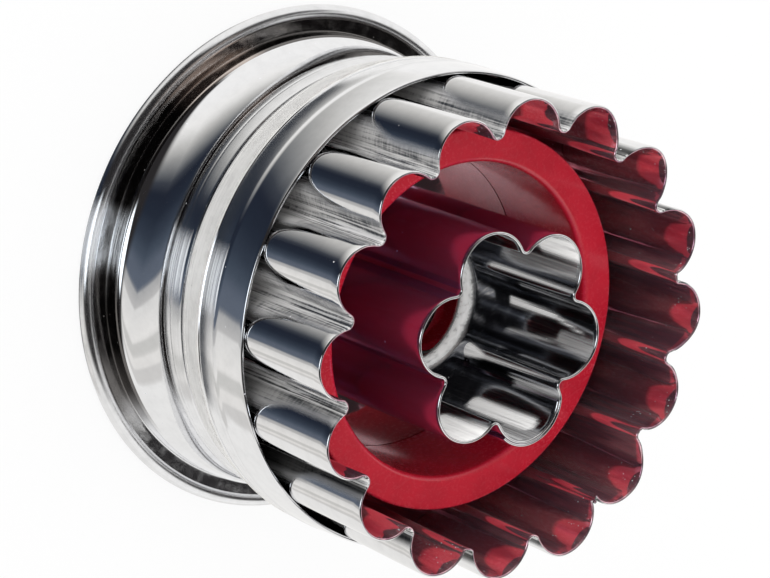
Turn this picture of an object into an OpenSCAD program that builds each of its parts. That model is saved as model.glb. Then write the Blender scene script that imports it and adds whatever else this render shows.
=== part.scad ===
// Linzer cookie cutter with a sprung ejector.
// It stands on its rolled rim at z = 0 with both cutting edges up, and its axis is Z.

/* [Fluted cutter] */
// Radius over the tips of the flutes
flute_tip_r = 23.93; // [20:0.01:30]
// Number of flutes
flute_count = 16; // [12:1:20]
// Angle that each rounded flute spans
flute_span = 163; // [140:1:172]
// Radius of the small bend between two flutes, at the middle of the sheet
flute_valley = 0.7; // [0.5:0.05:1.2]
// Height of the fluted strip
flute_h = 18.9; // [14:0.1:26]
// Thickness of the cutter sheet
cutter_t = 0.3; // [0.2:0.05:0.45]

/* [Flower cutter] */
// Number of petals
petal_count = 6; // [5:1:7]
// Radius of the circle that the petal centres lie on
petal_ring_r = 7.4; // [6.8:0.1:8]
// Radius of each petal, at the middle of the sheet
petal_round = 3.95; // [3.2:0.05:4.2]
// Radius of the bend between two petals, at the middle of the sheet
petal_valley = 0.65; // [0.5:0.05:1]
// How far the flower edge lies behind the fluted edge
flower_recess = 0.8; // [0:0.1:2]
// Turn of the flower against the flutes
flower_turn = 0; // [-15:0.5:15]
// Depth of the flower cup, from its edge to its floor
cup_depth = 14.5; // [9:0.1:16]
// Gap between the neck drawn out of the cup floor and the bends between the petals
neck_inset = 1.45; // [1:0.05:3]
// Thickness of the cup floor and its neck
cup_t = 0.4; // [0.3:0.05:0.6]
// Width of the neck's flared edge behind the web plate
flare_w = 1; // [0.5:0.1:1.5]
// Petal that holds the overlap of the strip's two ends
lap_petal = 3; // [0:1:4]
// Angle that the overlap spans round its petal
lap_angle = 130; // [60:5:150]

/* [Handle shell] */
// Width of the rolled rim and its dished flange, outside the neck's foot
rim_w = 3.15; // [2.4:0.05:8]
// Radius of the roll
curl_r = 0.85; // [0.75:0.05:1.2]
// Depth that the roll is flattened where the cutter stands on it
rim_flat = 0.12; // [0.05:0.01:0.2]
// Thickness of the shell sheet
shell_t = 0.4; // [0.3:0.05:0.5]
// How far the neck flares out from its waist to its foot, where the dished flange begins
foot_flare = 0.75; // [0.3:0.05:1.5]
// Height of the neck's foot
foot_z = 3.4; // [2.8:0.1:4.5]
// How far the waist of the neck lies inside the seam line
waist_depth = 1.4; // [0.9:0.05:1.8]
// Height of the waist
waist_z = 8.7; // [7.5:0.1:9.5]
// Height of the crease between neck and bead
crease_z = 11.7; // [11:0.1:12.5]
// How far the bead's crown stands outside the collar
bead_rise = 0.05; // [0:0.01:0.2]
// How far the crease lies inside the bead's crown
bead_depth = 0.55; // [0.3:0.05:0.8]
// Width of the inner flange that carries the web plate
seat_w = 1.3; // [0.8:0.1:1.5]

/* [Collar] */
// Radial gap between the flute tips and the collar's bore
collar_gap = 0.05; // [0.02:0.01:0.2]
// Thickness of the collar at its front edge
collar_t = 0.35; // [0.25:0.05:0.6]
// How far the band swells outwards at its rear line
band_swell = 0.12; // [0:0.02:0.3]
// Width of the flat band
band_w = 4.4; // [3:0.1:6]
// Length of the rounded shoulder behind the band
shoulder_w = 3.3; // [2:0.1:4.5]

/* [Web plate] */
// Thickness of the web plate
web_t = 0.5; // [0.4:0.05:1]
// Height of the web plate's rear face
web_z = 17.2; // [16.8:0.1:19]
// Gap between the web plate's edge and the collar's bore
web_gap = 0.05; // [0.02:0.01:0.15]

/* [Ejector] */
// Press travel of the ejector
travel = 8.2; // [5:0.1:8.3]
// Gap between the ring's rear edge and the bends between the flutes
ring_gap = 0.85; // [0.4:0.05:1.2]
// Width of the ring's front face
ring_w = 3.45; // [2.8:0.05:4]
// How much each side of the ring widens towards its rear
ring_draft = 0.3; // [0:0.05:0.4]
// Radius of the ring's front edges
ring_edge = 0.6; // [0.2:0.05:1]
// Gap between the resting ring and the web plate
rest_gap = 0.1; // [0.05:0.05:0.3]
// Number of legs that join ring and button
leg_count = 3; // [2:1:4]
// Angle that each leg spans
leg_angle = 30; // [16:1:36]
// How far the legs lie inside the ring's outer edge
leg_inset = 0.6; // [0.3:0.05:1]
// Thickness of each leg
leg_t = 1.8; // [1.2:0.1:2]
// Gap between a leg and its slot in the web plate
slot_gap = 0.3; // [0.15:0.05:0.5]
// Gap between a leg and its socket in the button
socket_gap = 0.05; // [0.02:0.01:0.1]
// Wall of each socket
socket_wall = 1.3; // [1:0.1:1.5]
// Depth of each socket
socket_h = 3.4; // [3:0.1:4]
// Height of the snap barb on each leg
barb_h = 1; // [0.8:0.1:1.4]
// How far the snap barb stands out
barb_out = 0.5; // [0.3:0.05:0.7]

/* [Push button] */
// Radial gap between the button and the shell's neck
button_gap = 0.4; // [0.25:0.05:0.8]
// Height of the button's crown above the standing plane
crown_z = 1.1; // [0.6:0.1:1.6]
// How far the crown domes outwards
crown_dome = 1.1; // [0.5:0.1:1.5]
// Height of the button's floor, on its spring side
floor_z = 3.7; // [3.5:0.1:4]
// Wall of the button's skirt
skirt_t = 1.2; // [1:0.1:1.5]
// Gap left between the skirt and the web plate at full travel
stop_gap = 0.3; // [0.2:0.05:0.5]
// Height of the spring's boss above the floor
boss_h = 2.4; // [1.5:0.1:3]
// Wall of the spring's boss
boss_t = 1.4; // [1:0.1:2]

/* [Return spring] */
// Diameter of the spring wire
wire_d = 0.8; // [0.6:0.05:0.9]
// Number of curls
spring_curls = 5; // [3:1:5]
// Gap round the boss and the neck's flared edge
spring_gap = 0.4; // [0.3:0.05:0.6]
// Gap at each end of the spring
spring_seat = 0.02; // [0.01:0.01:0.1]

/* [Hidden] */
STEEL = [0.80, 0.81, 0.83];
STEEL_WARM = [0.72, 0.72, 0.74];
RED = [0.76, 0.10, 0.13];
EPS = 0.01;
// Rings of points round each curl of the spring
CURL_RINGS = 8;
// Angles round the roll where the rolled sheet begins and where the flange leaves it
ROLL_START = 125;
FLANGE_START = 145;
// How far the dished flange bulges from the neck's foot and above the roll
DISH = [0.45, 0.35];
// Step of the flange at the neck's foot
FOOT_STEP = [0.1, -0.15];
// Part of a quarter ellipse that the neck's flare follows
FLARE_PART = 55;
// Step and width of the crease on each side of the bead
CREASE_STEP = 0.12;
CREASE_W = 0.15;
// Depth and height of the dark seam line between shell and collar
SEAM_STEP = 0.1;
SEAM_W = 0.08;
// Bevel of the collar's front edge
COLLAR_BEVEL = [0.1, 0.12];
// Play of a barb in its window below
BARB_PLAY = 0.2;
// Shares of the button's radius and dome that its crown spans
CROWN_SPAN = 0.94;
CROWN_DROP = 0.8;

// Heights along the axis
web_top = web_z + web_t;
edge_z = web_top + flute_h;
flower_z = edge_z - flower_recess;
cup_floor_z = flower_z - cup_depth;
ring_rear_z = web_top + rest_gap;
ring_front_z = edge_z - travel;
skirt_z = web_z - travel - stop_gap;
shoulder_z = web_z + shoulder_w;
band_z = shoulder_z + band_w;
socket_z = floor_z + socket_h;
barb_z = floor_z + 0.3 * socket_h;

// Radii that follow from what each piece seats on
flute_fill = sin(180 / flute_count) / sin(flute_span / 2 - 180 / flute_count);
flute_round = (flute_fill * (flute_tip_r - cutter_t / 2) - flute_valley) / (1 + flute_fill);
flute_ring_r = flute_tip_r - cutter_t / 2 - flute_round;
collar_bore_r = flute_tip_r + collar_gap;
collar_r = collar_bore_r + collar_t;
seam_r = collar_r - 0.5 * collar_t;
bead_r = collar_r + bead_rise;
crease_r = bead_r - bead_depth;
waist_r = seam_r - waist_depth;
foot_r = waist_r + foot_flare;
rim_r = foot_r + rim_w;
valley_in_r = valley_d(flute_ring_r, flute_round, flute_valley, flute_count) - flute_valley - cutter_t / 2;
ring_r = valley_in_r - ring_gap - ring_draft;
ring_bore_r = ring_r - ring_w;
leg_r = ring_r - leg_inset - leg_t;
web_r = collar_bore_r - web_gap;
petal_in_r = valley_d(petal_ring_r, petal_round, petal_valley, petal_count) - petal_valley - cutter_t / 2;
neck_r = petal_in_r - neck_inset;
neck_bore_r = neck_r - cup_t;
button_r = waist_r - shell_t - button_gap;
spring_bore_r = neck_r + flare_w + spring_gap;
spring_r = (spring_bore_r + wire_d / 2) / cos(180 / CURL_RINGS);
boss_r = spring_bore_r - spring_gap;

// Facets of full rounds and of the arcs in a profile
$fn = 96;
ARC_STEPS = 6;

// A point at radius r and angle a
function polar(r, a) = [r * cos(a), r * sin(a)];

// Points of an arc round a centre, from angle a0 to angle a1
function arc(c, r, a0, a1, steps = ARC_STEPS) =
    [for (i = [0:steps]) c + polar(r, a0 + (a1 - a0) * i / steps)];

// Points of a quarter ellipse between two corners, leaving the first one along y
function sweep_arc(p, q, part = 90) =
    [for (i = [0:ARC_STEPS])
        let (a = part * i / ARC_STEPS)
        [p.x + (q.x - p.x) * (1 - cos(a)) / (1 - cos(part)), p.y + (q.y - p.y) * sin(a) / sin(part)]];

// A curve from p to q that leans towards the control point c
function bow(p, c, q) =
    [for (i = [0:ARC_STEPS])
        let (u = i / ARC_STEPS)
        p * (1 - u) * (1 - u) + c * 2 * u * (1 - u) + q * u * u];

// The unit normal on the right-hand side of a step from p to q
function normal(p, q) = let (d = (q - p) / norm(q - p)) [d.y, -d.x];

// A line moved sideways by d, mitred at its corners
function beside(line, d) =
    let (n = len(line))
    [for (i = [0:n - 1])
        let (
            before = i == 0 ? normal(line[0], line[1]) : normal(line[i - 1], line[i]),
            after = i == n - 1 ? before : normal(line[i], line[i + 1])
        )
        line[i] + (before + after) * d / (1 + before * after)];

// Distance of a valley's bend centre from the axis
function valley_d(ring, round_r, valley, count) =
    ring * cos(180 / count) + sqrt(pow(round_r + valley, 2) - pow(ring * sin(180 / count), 2));

// Outline of rounded lobes joined by tangent valleys, moved outwards by grow
function lobes(ring, round_r, valley, count, grow) =
    let (
        half = 180 / count,
        bend = polar(valley_d(ring, round_r, valley, count), half),
        lean = bend - [ring, 0],
        reach = atan2(lean.y, lean.x),
        turn = reach - half
    )
    [for (k = [0:count - 1])
        each [for (p = concat(
            arc([ring, 0], round_r + grow, -reach, reach, 14),
            arc(bend, valley - grow, half + 180 + turn, half + 180 - turn, 5)))
            [p.x * cos(2 * half * k) - p.y * sin(2 * half * k),
             p.x * sin(2 * half * k) + p.y * cos(2 * half * k)]]];

function flute_outline(grow) =
    lobes(flute_ring_r, flute_round, flute_valley, flute_count, grow);

function flower_outline(grow) =
    lobes(petal_ring_r, petal_round, petal_valley, petal_count, grow);

// A solid of revolution from a closed profile of [radius, height] points
module turned(points) {
    rotate_extrude() polygon(points);
}

// A plain ring between two radii and two heights
module ring(r0, r1, z0, z1) {
    turned([[r0, z0], [r1, z0], [r1, z1], [r0, z1]]);
}

// A wedge of a turned profile, centred on the X axis
module turned_arc(points, angle) {
    rotate([0, 0, -angle / 2]) rotate_extrude(angle = angle) polygon(points);
}

// A bar bent round the axis
module arc_bar(r0, r1, z0, z1, angle) {
    turned_arc([[r0, z0], [r1, z0], [r1, z1], [r0, z1]], angle);
}

// Copies its children at every leg
module at_legs() {
    for (k = [0:leg_count - 1]) rotate([0, 0, 360 * k / leg_count]) children();
}

// Outer line of the shell, from its roll up to the edge of its inner flange
function shell_line() =
    let (
        curl_c = [rim_r - curl_r, curl_r - rim_flat],
        touch = curl_c + polar(curl_r, FLANGE_START),
        foot = [foot_r, foot_z],
        waist = [waist_r, waist_z],
        crease = [crease_r, crease_z],
        bead_mid = (web_z + crease_z) / 2,
        bead_half = (web_z - crease_z) / 2 - CREASE_W
    )
    concat(
        [curl_c + polar(curl_r - shell_t / 2, ROLL_START)],
        bow(touch, [foot_r, touch.y] + DISH, foot + FOOT_STEP),
        [for (i = [0:ARC_STEPS]) sweep_arc(waist, foot, FLARE_PART)[ARC_STEPS - i]],
        [for (i = [1:ARC_STEPS]) sweep_arc(waist, crease)[i]],
        [for (a = [10:20:170])
            [crease_r + CREASE_STEP + (bead_depth - CREASE_STEP) * sin(a), bead_mid - bead_half * cos(a)]],
        [[seam_r - SEAM_STEP, web_z], [web_r - seat_w, web_z]]
    );

module handle_shell() {
    line = shell_line();
    curl_c = [rim_r - curl_r, curl_r - rim_flat];
    color(STEEL) {
        turned(concat(line, [for (i = [len(line) - 1:-1:0]) beside(line, -shell_t)[i]]));
        difference() {
            rotate_extrude() translate(curl_c) circle(r = curl_r, $fn = 32);
            rotate_extrude() translate(curl_c) circle(r = curl_r - shell_t, $fn = 32);
            translate([0, 0, -1]) cylinder(r = rim_r + 1, h = 1);
        }
    }
}

module front_collar() {
    shoulder = sweep_arc([collar_r + band_swell, shoulder_z], [seam_r, web_z + SEAM_W]);
    color(STEEL)
        turned(concat(
            [[collar_bore_r, web_z], [seam_r - SEAM_STEP, web_z]],
            [for (i = [ARC_STEPS:-1:0]) shoulder[i]],
            [[collar_r, band_z - COLLAR_BEVEL.y], [collar_r - COLLAR_BEVEL.x, band_z],
             [collar_bore_r, band_z]]));
}

module web_plate() {
    color(STEEL_WARM)
        difference() {
            ring(neck_r + EPS, web_r, web_z, web_top);
            at_legs()
                arc_bar(leg_r - slot_gap, leg_r + leg_t + slot_gap, web_z - 1, web_top + 1,
                    leg_angle + 2 * slot_gap / leg_r * 180 / PI);
        }
}

module fluted_cutter() {
    color(STEEL)
        translate([0, 0, web_top])
            linear_extrude(flute_h)
                difference() {
                    polygon(flute_outline(cutter_t / 2));
                    polygon(flute_outline(-cutter_t / 2));
                }
}

// The strip's outer end, lapped over its inner end round one petal
module lap() {
    rotate([0, 0, 360 * lap_petal / petal_count])
        polygon(concat(
            arc([petal_ring_r, 0], petal_round + 1.5 * cutter_t, -lap_angle / 2, lap_angle / 2, 12),
            arc([petal_ring_r, 0], petal_round, lap_angle / 2, -lap_angle / 2, 12)));
}

module flower_cutter() {
    color(STEEL)
        translate([0, 0, web_top])
            rotate([0, 0, flower_turn])
                linear_extrude(flower_z - web_top) {
                    difference() {
                        polygon(flower_outline(cutter_t / 2));
                        polygon(flower_outline(-cutter_t / 2));
                    }
                    lap();
                }
}

// Floor of the flower cup, with a neck that passes the web plate and is flared behind it
module flower_base() {
    color(STEEL_WARM) {
        difference() {
            translate([0, 0, cup_floor_z - cup_t])
                rotate([0, 0, flower_turn])
                    linear_extrude(cup_t) polygon(flower_outline(-cutter_t / 2 - EPS));
            translate([0, 0, cup_floor_z - cup_t - 1]) cylinder(r = neck_bore_r, h = cup_t + 2);
        }
        turned([
            [neck_bore_r, web_z - cup_t], [neck_r + flare_w, web_z - cup_t],
            [neck_r + flare_w, web_z], [neck_r, web_z],
            [neck_r, cup_floor_z - cup_t / 2], [neck_bore_r, cup_floor_z - cup_t / 2],
        ]);
    }
}

// Ring that pushes the dough out, with legs that snap into the button
module ejector_ring() {
    leg_out = leg_r + leg_t;
    color(RED) {
        turned(concat(
            [[ring_bore_r - ring_draft, ring_rear_z], [ring_r + ring_draft, ring_rear_z]],
            arc([ring_r - ring_edge / 2, ring_front_z - ring_edge / 2], ring_edge / 2, 0, 90),
            arc([ring_bore_r + ring_edge, ring_front_z - ring_edge], ring_edge, 90, 180)));
        at_legs() {
            arc_bar(leg_r, leg_out, floor_z + socket_gap, ring_rear_z + 1, leg_angle);
            turned_arc(
                [[leg_out - EPS, barb_z], [leg_out + barb_out, barb_z + barb_h],
                 [leg_out - EPS, barb_z + barb_h]], leg_angle / 2);
        }
    }
}

// One socket that a leg snaps into
module socket() {
    pocket_r0 = leg_r - socket_gap;
    pocket_r1 = leg_r + leg_t + socket_gap;
    gap_angle = 2 * socket_gap / leg_r * 180 / PI;
    wall_angle = 2 * socket_wall / leg_r * 180 / PI;
    difference() {
        arc_bar(pocket_r0 - socket_wall, pocket_r1 + socket_wall, floor_z - EPS, socket_z,
            leg_angle + wall_angle);
        arc_bar(pocket_r0, pocket_r1, floor_z, socket_z + 1, leg_angle + gap_angle);
        arc_bar(pocket_r1 - EPS, pocket_r1 + socket_wall + 1, barb_z - BARB_PLAY,
            barb_z + barb_h + socket_gap, leg_angle / 2 + 2 * gap_angle);
    }
}

module push_button() {
    skirt_foot = crown_z + crown_dome;
    color(RED) {
        turned(concat(
            [for (i = [0:8])
                let (u = i / 8)
                [button_r * CROWN_SPAN * u, crown_z + crown_dome * CROWN_DROP * u * u]],
            [[button_r, skirt_foot], [button_r, skirt_z], [button_r - skirt_t, skirt_z],
             [button_r - skirt_t, floor_z], [0, floor_z]]));
        ring(boss_r - boss_t, boss_r, floor_z - EPS, floor_z + boss_h);
        at_legs() socket();
    }
}

// Middle line of the spring wire: a helix with a short square run at each end
function spring_line() =
    let (
        z0 = floor_z + spring_seat,
        z1 = web_z - spring_seat,
        low = z0 + 1.5 * wire_d,
        high = z1 - 1.5 * wire_d,
        rings = CURL_RINGS * spring_curls
    )
    concat(
        [[spring_r, 0, z0], [spring_r, 0, z0 + wire_d]],
        [for (i = [1:rings - 1])
            let (a = 360 * i / rings * spring_curls)
            [spring_r * cos(a), spring_r * sin(a), low + (high - low) * i / rings]],
        [[spring_r, 0, z1 - wire_d], [spring_r, 0, z1]]);

// Unit vector along the line at point i
function along(line, i) =
    let (d = line[min(i + 1, len(line) - 1)] - line[max(i - 1, 0)]) d / norm(d);

// Ring of points round the wire at point i, square to the line
function wire_ring(line, i, sides) =
    let (
        end = i == 0 || i == len(line) - 1,
        t = end ? [0, 0, 1] : along(line, i),
        out = let (p = line[i]) [p.x, p.y, 0] / norm([p.x, p.y, 0]),
        u = let (v = out - t * (out * t)) v / norm(v),
        w = cross(t, u)
    )
    [for (k = [0:sides - 1]) line[i] + (u * cos(360 * k / sides) + w * sin(360 * k / sides)) * wire_d / 2];

// Least gap of the wire to itself, between points more than half a curl apart
function least_gap(line) =
    min([for (i = [0:len(line) - 1], j = [i + 5:1:len(line) - 1]) norm(line[i] - line[j])]) - wire_d;

module return_spring() {
    line = spring_line();
    sides = 6;
    last = len(line) - 1;
    echo(least_spring_gap = least_gap(line));
    points = [for (i = [0:last]) each wire_ring(line, i, sides)];
    walls = [for (i = [0:last - 1], k = [0:sides - 1], half = [0, 1])
        let (a = i * sides + k, b = i * sides + (k + 1) % sides)
        half == 0 ? [a, a + sides, b] : [b, a + sides, b + sides]];
    foot = [for (k = [1:sides - 2]) [0, k, k + 1]];
    head = [for (k = [1:sides - 2]) [last * sides, last * sides + k + 1, last * sides + k]];
    color(STEEL_WARM) polyhedron(points, concat(walls, foot, head), convexity = 10);
}

handle_shell();
front_collar();
web_plate();
fluted_cutter();
flower_cutter();
flower_base();
ejector_ring();
push_button();
return_spring();
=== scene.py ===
"""Linzer cookie cutter: a polished steel shell and collar, a fluted strip, a flower cup and a sprung ejector.

The packed model gives the bodies and the sizes, and the operators here make or finish the pieces of the
cutter and set up the studio.
"""

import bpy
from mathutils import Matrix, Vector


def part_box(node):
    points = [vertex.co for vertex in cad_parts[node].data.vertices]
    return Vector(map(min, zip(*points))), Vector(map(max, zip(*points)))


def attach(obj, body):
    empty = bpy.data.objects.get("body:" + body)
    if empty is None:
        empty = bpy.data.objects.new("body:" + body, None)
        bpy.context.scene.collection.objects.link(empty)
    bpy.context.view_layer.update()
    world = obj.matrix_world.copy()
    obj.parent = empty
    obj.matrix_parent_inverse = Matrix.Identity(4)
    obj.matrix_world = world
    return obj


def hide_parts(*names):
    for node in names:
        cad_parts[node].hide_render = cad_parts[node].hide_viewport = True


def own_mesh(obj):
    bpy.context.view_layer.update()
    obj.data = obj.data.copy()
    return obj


bl_info = {
    "name": "Linzer Cookie Cutter",
    "version": (1, 0, 0),
    "blender": (4, 5, 0),
    "location": "View3D > Sidebar > Cutter",
    "description": "Builds a sprung linzer cookie cutter, with a small photo studio round it",
    "category": "Add Mesh",
}

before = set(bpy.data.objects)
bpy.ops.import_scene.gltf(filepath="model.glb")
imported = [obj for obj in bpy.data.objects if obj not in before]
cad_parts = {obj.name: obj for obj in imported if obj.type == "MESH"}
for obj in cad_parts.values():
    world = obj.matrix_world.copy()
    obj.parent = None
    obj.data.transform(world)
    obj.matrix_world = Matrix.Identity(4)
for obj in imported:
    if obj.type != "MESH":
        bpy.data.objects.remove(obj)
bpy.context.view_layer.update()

import math

import bpy
from mathutils import Matrix, Vector, noise

HOUSING = "housing"

MM = 0.001
STEPS_ROUND = 360
SHARP = math.radians(38)


def low(node):
    """Lowest corner of a node of the packed model."""
    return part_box(node)[0]


def high(node):
    """Highest corner of a node of the packed model."""
    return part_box(node)[1]


def length(name, about, default):
    """A size in metres that the sidebar shows."""
    return bpy.props.FloatProperty(
        name=name, description=about, default=default, precision=5, unit="LENGTH", subtype="DISTANCE")


def colour(name, about, default):
    """A colour that the sidebar shows."""
    return bpy.props.FloatVectorProperty(
        name=name, description=about, default=default, size=3, min=0, max=1, subtype="COLOR")


def angle(name, about, degrees):
    """An angle that the sidebar shows."""
    return bpy.props.FloatProperty(
        name=name, description=about, default=math.radians(degrees), subtype="ANGLE")


def count(name, about, default, least, most):
    """A whole number that the sidebar shows."""
    return bpy.props.IntProperty(name=name, description=about, default=default, min=least, max=most)


class CutterShellSizes(bpy.types.PropertyGroup):
    """Sizes of the handle shell and of the collar on its front"""

    rim_radius: length("Rim radius", "Outer radius of the rolled rim", high("handle_shell").x)
    roll_radius: length("Roll radius", "Radius of the rolled edge", 0.85 * MM)
    roll_flat: length("Roll flat", "How far the roll is flattened where it stands", 0.12 * MM)
    sheet: length("Sheet", "Thickness of the shell's sheet", 0.4 * MM)
    rim_width: length("Rim width", "Width of roll and flange outside the neck's foot", 3.15 * MM)
    flange_height: length("Flange height", "Height of the dished flange beside the roll", 1.28 * MM)
    foot_flare: length("Foot flare", "How far the neck flares out from waist to foot", 0.97 * MM)
    foot_height: length("Foot height", "Height of the neck's foot", 3.4 * MM)
    waist_height: length("Waist height", "Height of the narrowest place of the neck", 7.9 * MM)
    ridge_rise: length("Ridge rise", "How far the ridge stands out from the waist", 0.72 * MM)
    ridge_height: length("Ridge height", "Height of the ridge on the neck", 10.9 * MM)
    valley_height: length("Valley height", "Height of the valley before the flared mouth", 13.0 * MM)
    mouth_height: length("Mouth height", "Height where the flared mouth begins", 13.9 * MM)
    mouth_flare: length("Mouth flare", "How far the mouth flares out to the seam", 1.0 * MM)
    mouth_radius: length("Mouth radius", "Outer radius of the mouth at the seam", 24.4 * MM)
    seat_height: length("Seat height", "Height of the flange under the web plate", high("handle_shell").z)
    seam_height: length("Seam height", "Height of the seam at the collar", high("handle_shell").z + 0.35 * MM)
    seam_gap: length("Seam gap", "Width of the seam", 0.08 * MM)
    collar_radius: length("Collar radius", "Outer radius of the collar's front edge", 24.33 * MM)
    collar_swell: length("Collar swell", "How far the band swells out behind its edge", 0.12 * MM)
    collar_sheet: length("Collar sheet", "Thickness of the collar at its front edge", 0.35 * MM)
    band_width: length("Band width", "Width of the collar's flat band", 4.4 * MM)
    hem_width: length("Hem width", "Width of the thin hem behind the collar's shoulder", 0.42 * MM)
    collar_front: length("Collar front", "Height of the collar's front edge", high("front_collar").z)


class CutterStripSizes(bpy.types.PropertyGroup):
    """Sizes of the fluted strip and of the flower cup"""

    sheet: length("Sheet", "Thickness of both cutter strips", 0.3 * MM)
    strip_rear: length("Strip rear", "Height of the strips' rear edges", low("fluted_cutter").z)
    flute_tip: length("Flute tips", "Radius over the tips of the flutes", high("fluted_cutter").x)
    flute_front: length("Fluted edge", "Height of the fluted cutting edge", high("fluted_cutter").z)
    flute_count: count("Flutes", "Number of flutes", 16, 12, 20)
    flute_span: angle("Flute span", "Angle that each rounded flute spans", 163)
    flute_valley: length("Flute bends", "Radius of the bend between two flutes", 0.7 * MM)
    petal_front: length("Flower edge", "Height of the flower's cutting edge", high("flower_cutter").z)
    petal_count: count("Petals", "Number of petals", 6, 5, 7)
    petal_ring: length("Petal ring", "Radius of the circle that the petal centres lie on", 7.4 * MM)
    petal_round: length("Petal round", "Radius of each petal at the middle of the sheet", 3.95 * MM)
    petal_valley: length("Petal bends", "Radius of the bend between two petals", 0.65 * MM)
    lap_petal: count("Lapped petal", "Petal that the strip's ends overlap on", 3, 0, 4)
    lap_angle: angle("Lap angle", "Angle that the overlap spans round its petal", 130)
    cup_depth: length("Cup depth", "Depth of the flower cup", 14.5 * MM)
    cup_sheet: length("Cup sheet", "Thickness of the cup's floor and neck", 0.4 * MM)
    neck_radius: length("Neck radius", "Outer radius of the neck drawn out of the floor", 6.89 * MM)
    flare_width: length("Flare width", "Width of the neck's flared rear edge", 1.0 * MM)
    neck_rear: length("Neck rear", "Height of the neck's rear edge", low("flower_base").z)


class CutterSpringSizes(bpy.types.PropertyGroup):
    """Sizes of the return spring"""

    wire: length("Wire", "Diameter of the spring wire", 0.8 * MM)
    radius: length("Spring radius", "Mean radius of the spring", 9.2 * MM)
    rear: length("Spring rear", "Height of the spring's rear end", low("return_spring").z)
    front: length("Spring front", "Height of the spring's front end", high("return_spring").z)
    curls: bpy.props.FloatProperty(name="Curls", description="Number of open curls", default=5)
    pressed: bpy.props.FloatProperty(
        name="Pressed share", description="Length of the pressed spring as a share of its free length",
        default=0.391)


class CutterColours(bpy.types.PropertyGroup):
    """Colours of steel and plastic"""

    steel: colour("Steel", "Polished stainless steel", (0.86, 0.865, 0.88))
    satin: colour("Satin", "Dull white grain of the shell's mouth", (0.88, 0.87, 0.85))
    strip: colour("Strip", "Bright rolled cutter strip", (0.84, 0.84, 0.85))
    # The sheet colour's pink is a painted reflection of the red ring
    sheet: colour("Sheet", "Web plate, flushed by the red ring", (0.85, 0.54, 0.59))
    wire: colour("Wire", "Dull spring wire", (0.62, 0.62, 0.63))
    red: colour("Red", "Moulded red plastic", (0.68, 0.017, 0.040))
    dust: colour("Dust", "Specks of dust on the steel", (0.85, 0.86, 0.9))


class CutterStage(bpy.types.PropertyGroup):
    """Camera, floor and light"""

    aim: bpy.props.FloatVectorProperty(
        name="Aim", description="Point that the camera looks at", default=(1.03 * MM, 0.67 * MM, 17.25 * MM),
        precision=5, subtype="TRANSLATION", unit="LENGTH")
    distance: length("Distance", "From the aim point to the camera", 364.4 * MM)
    azimuth: angle("Azimuth", "Direction of the camera round the cutter's axis, from +X", 45.86)
    elevation: angle("Elevation", "Height of the camera above the floor", 48.77)
    roll: angle("Roll", "Turn of the camera about its line of sight", -110.39)
    lens: bpy.props.FloatProperty(name="Lens", description="Focal length in millimetres", default=170.1)
    floor_half: length("Floor", "Half of the floor's side", 0.9)
    floor_colour: colour("Floor colour", "Pale floor", (0.94, 0.94, 0.94))
    dark_side: colour("Dark side", "Dark room round the camera, as steel mirrors it", (0.027, 0.025, 0.026))
    white: colour("White", "Backdrop behind the cutter, as steel mirrors it", (1.0, 0.99, 0.975))
    table: colour("Table", "Pale table below the cutter, as steel mirrors it", (0.91, 0.90, 0.88))
    lamp: colour("Lamp", "Lamp beside the camera, as steel mirrors it", (0.90, 0.95, 1.0))


GROUPS = {
    "cutter_shell": CutterShellSizes,
    "cutter_strips": CutterStripSizes,
    "cutter_spring": CutterSpringSizes,
    "cutter_colours": CutterColours,
    "cutter_stage": CutterStage,
}


# Points and curves

def mm(across, up=0.0):
    """A step of so many millimetres across and up a profile."""
    return Vector((across, up)) * MM


def polar(radius, turn):
    """A point at a radius and an angle in radians."""
    return Vector((radius * math.cos(turn), radius * math.sin(turn)))


def arc(centre, radius, start, end, steps):
    """Points of an arc from one angle to another, in degrees."""
    turns = [math.radians(start + (end - start) * i / steps) for i in range(steps + 1)]
    return [Vector(centre) + polar(radius, turn) for turn in turns]


def bow(p, control, q, steps):
    """A curve from p to q that leans towards the control point."""
    shares = [i / steps for i in range(steps + 1)]
    return [p * (1 - u) ** 2 + control * 2 * u * (1 - u) + q * u * u for u in shares]


def quarter(p, q, steps, part=90):
    """Part of a quarter ellipse from p to q that leaves p along the height."""
    span = math.radians(part)
    points = []
    for i in range(steps + 1):
        turn = span * i / steps
        across = (1 - math.cos(turn)) / (1 - math.cos(span))
        up = math.sin(turn) / math.sin(span)
        points.append(Vector((p.x + (q.x - p.x) * across, p.y + (q.y - p.y) * up)))
    return points


def beside(line, offset):
    """A line moved to its right-hand side by an offset, mitred at its corners."""
    normals = []
    for p, q in zip(line, line[1:]):
        step = (q - p).normalized()
        normals.append(Vector((step.y, -step.x)))
    moved = []
    for i, p in enumerate(line):
        before = normals[max(i - 1, 0)]
        after = normals[min(i, len(normals) - 1)]
        moved.append(p + (before + after) * offset / (1 + before.dot(after)))
    return moved


def ease(t):
    """A smooth rise from 0 to 1."""
    t = min(max(t, 0), 1)
    return t * t * (3 - 2 * t)


# Meshes

def add_piece(name, verts, faces, look, replaced):
    """A smooth piece that rides on the housing and stands for a node of the packed model."""
    mesh = bpy.data.meshes.new(name)
    mesh.from_pydata([tuple(v) for v in verts], [], faces)
    mesh.validate()
    mesh.shade_smooth()
    mesh.set_sharp_from_angle(angle=SHARP)
    mesh.materials.append(finish(look))
    piece = bpy.data.objects.new(name, mesh)
    bpy.context.scene.collection.objects.link(piece)
    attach(piece, HOUSING)
    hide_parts(replaced)
    return piece


def finished_parts(piece, profile, name, chosen):
    """Gives another finish to the faces whose profile points are chosen."""
    piece.data.materials.append(finish(name))
    index = len(piece.data.materials) - 1
    rows = len(profile)
    marks = [chosen(profile[j]) and chosen(profile[(j + 1) % rows]) for j in range(rows)]
    for face in piece.data.polygons:
        if marks[face.index % rows]:
            face.material_index = index


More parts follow.
